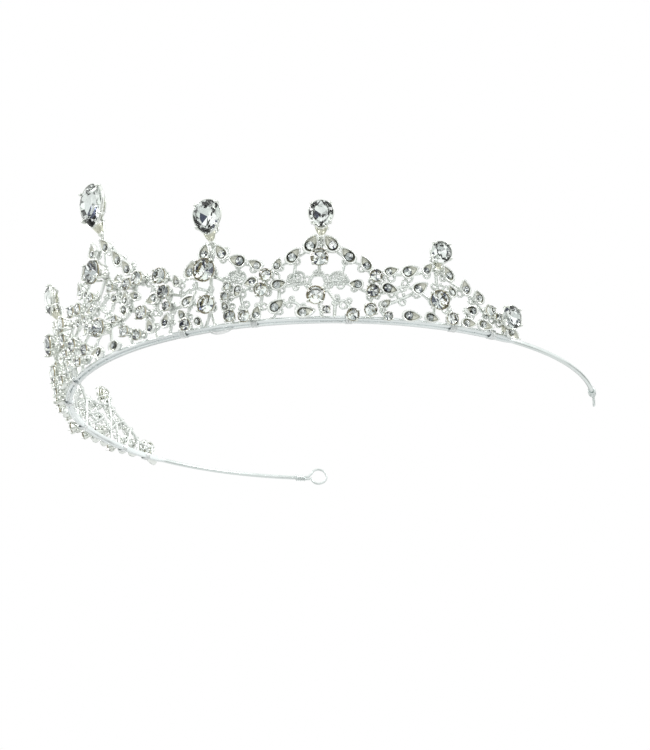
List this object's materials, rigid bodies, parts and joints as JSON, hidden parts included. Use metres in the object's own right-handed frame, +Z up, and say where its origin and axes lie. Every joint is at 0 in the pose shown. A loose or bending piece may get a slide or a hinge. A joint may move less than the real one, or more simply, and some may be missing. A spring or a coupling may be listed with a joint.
{
  "type": "bridal tiara",
  "caption": "Bridal tiara: open wire headband with a leaning openwork panel of scrolls, leaf cups and crystals that rises to a tall centre peak, hair loops at the ends.",
  "frame": {"origin": "middle of the tiara's footprint, on the plane under the two hair loops and the lowest stone cups, 1.3 mm below the headband", "axes": "+Z up as worn, the jewelled front faces -Y, the open ends point to +Y, symmetric about X = 0"},
  "size_m": [0.1512, 0.1276, 0.0446],
  "materials": {
    "headband_wire": "bright silver plate, smooth",
    "rail_wire": "bright silver plate",
    "binding_wire": "fine bright wire",
    "loop_wire": "bright silver plate",
    "scroll_metal": "cast and silver plated, slightly soft edges",
    "cup_metal": "bright silver plate",
    "leaf_metal": "silver plate, darker in the recess",
    "round_crystal": "clear faceted glass, silver foil behind",
    "peak_crystal": "clear faceted glass, silver foil behind"
  },
  "bodies": {
    "root": {"headband": "headband_wire", "right_hair_loop": "loop_wire", "left_hair_loop": "loop_wire", "base_rail": "rail_wire", "binding_wraps": "binding_wire", "centre_scrollwork": "scroll_metal", "centre_stone_cups": "cup_metal", "centre_leaf_cups": "leaf_metal", "centre_round_stones": "round_crystal", "centre_peak_cup": "cup_metal", "centre_peak_stone": "peak_crystal", "right_first_scrollwork": "scroll_metal", "right_first_stone_cups": "cup_metal", "right_first_leaf_cups": "leaf_metal", "right_first_round_stones": "round_crystal", "right_first_peak_cup": "cup_metal", "right_first_peak_stone": "peak_crystal", "right_second_scrollwork": "scroll_metal", "right_second_stone_cups": "cup_metal", "right_second_leaf_cups": "leaf_metal", "right_second_round_stones": "round_crystal", "right_second_peak_cup": "cup_metal", "right_second_peak_stone": "peak_crystal", "right_third_scrollwork": "scroll_metal", "right_third_stone_cups": "cup_metal", "right_third_leaf_cups": "leaf_metal", "right_third_round_stones": "round_crystal", "right_third_peak_cup": "cup_metal", "right_third_peak_stone": "peak_crystal", "right_fourth_scrollwork": "scroll_metal", "right_fourth_leaf_cup": "leaf_metal", "right_fourth_leaf_stone": "round_crystal", "right_fourth_peak_cup": "cup_metal", "right_fourth_peak_stone": "peak_crystal", "left_first_scrollwork": "scroll_metal", "left_first_stone_cups": "cup_metal", "left_first_leaf_cups": "leaf_metal", "left_first_round_stones": "round_crystal", "left_first_peak_cup": "cup_metal", "left_first_peak_stone": "peak_crystal", "left_second_scrollwork": "scroll_metal", "left_second_stone_cups": "cup_metal", "left_second_leaf_cups": "leaf_metal", "left_second_round_stones": "round_crystal", "left_second_peak_cup": "cup_metal", "left_second_peak_stone": "peak_crystal", "left_third_scrollwork": "scroll_metal", "left_third_stone_cups": "cup_metal", "left_third_leaf_cups": "leaf_metal", "left_third_round_stones": "round_crystal", "left_third_peak_cup": "cup_metal", "left_third_peak_stone": "peak_crystal", "left_fourth_scrollwork": "scroll_metal", "left_fourth_leaf_cup": "leaf_metal", "left_fourth_leaf_stone": "round_crystal", "left_fourth_peak_cup": "cup_metal", "left_fourth_peak_stone": "peak_crystal"}
  },
  "joints": []
}
